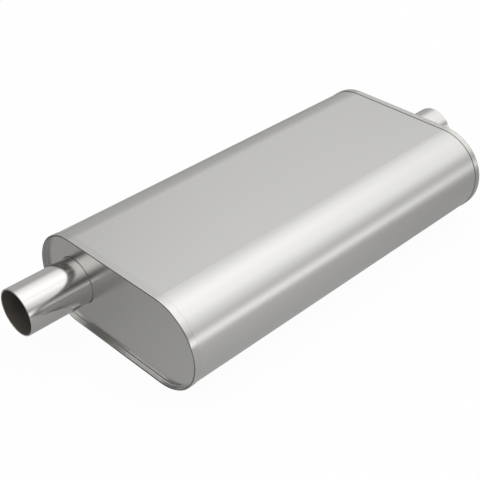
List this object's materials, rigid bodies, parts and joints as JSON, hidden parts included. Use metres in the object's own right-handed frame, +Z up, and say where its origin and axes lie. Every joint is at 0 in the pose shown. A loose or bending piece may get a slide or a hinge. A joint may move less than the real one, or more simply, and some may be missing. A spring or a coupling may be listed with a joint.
{
  "type": "muffler",
  "caption": "Oval exhaust muffler with an offset inlet neck, a centred outlet neck, rolled end seams and perforated tubes between flanged baffles inside.",
  "frame": {"origin": "centre of the oval body, midway between the two rolled rims and midway between top and bottom; the two necks stand equally far out", "axes": "+Y along the body from the inlet end to the outlet end, +X across the width with the inlet neck on the -X side, +Z up through the flat top"},
  "size_m": [0.2296, 0.5796, 0.1028],
  "materials": {
    "shell_sheet": "satin",
    "cap_sheet": "satin",
    "neck_pipe": "satin",
    "inner_sheet": "satin",
    "weld_metal": "satin",
    "packing_fibre": "matte"
  },
  "bodies": {
    "root": {"outer_wrap": "shell_sheet", "inner_wrap": "inner_sheet", "inlet_end_cap": "cap_sheet", "outlet_end_cap": "cap_sheet", "inlet_neck": "neck_pipe", "outlet_neck": "neck_pipe", "inlet_neck_weld": "weld_metal", "outlet_neck_weld": "weld_metal", "inlet_tube": "inner_sheet", "return_tube": "inner_sheet", "outlet_tube": "inner_sheet", "front_baffle": "inner_sheet", "front_support_baffle": "inner_sheet", "rear_support_baffle": "inner_sheet", "rear_baffle": "inner_sheet", "front_baffle_welds": "weld_metal", "rear_baffle_welds": "weld_metal", "front_flow_director": "inner_sheet", "rear_flow_director": "inner_sheet", "fibre_packing": "packing_fibre"}
  },
  "joints": []
}
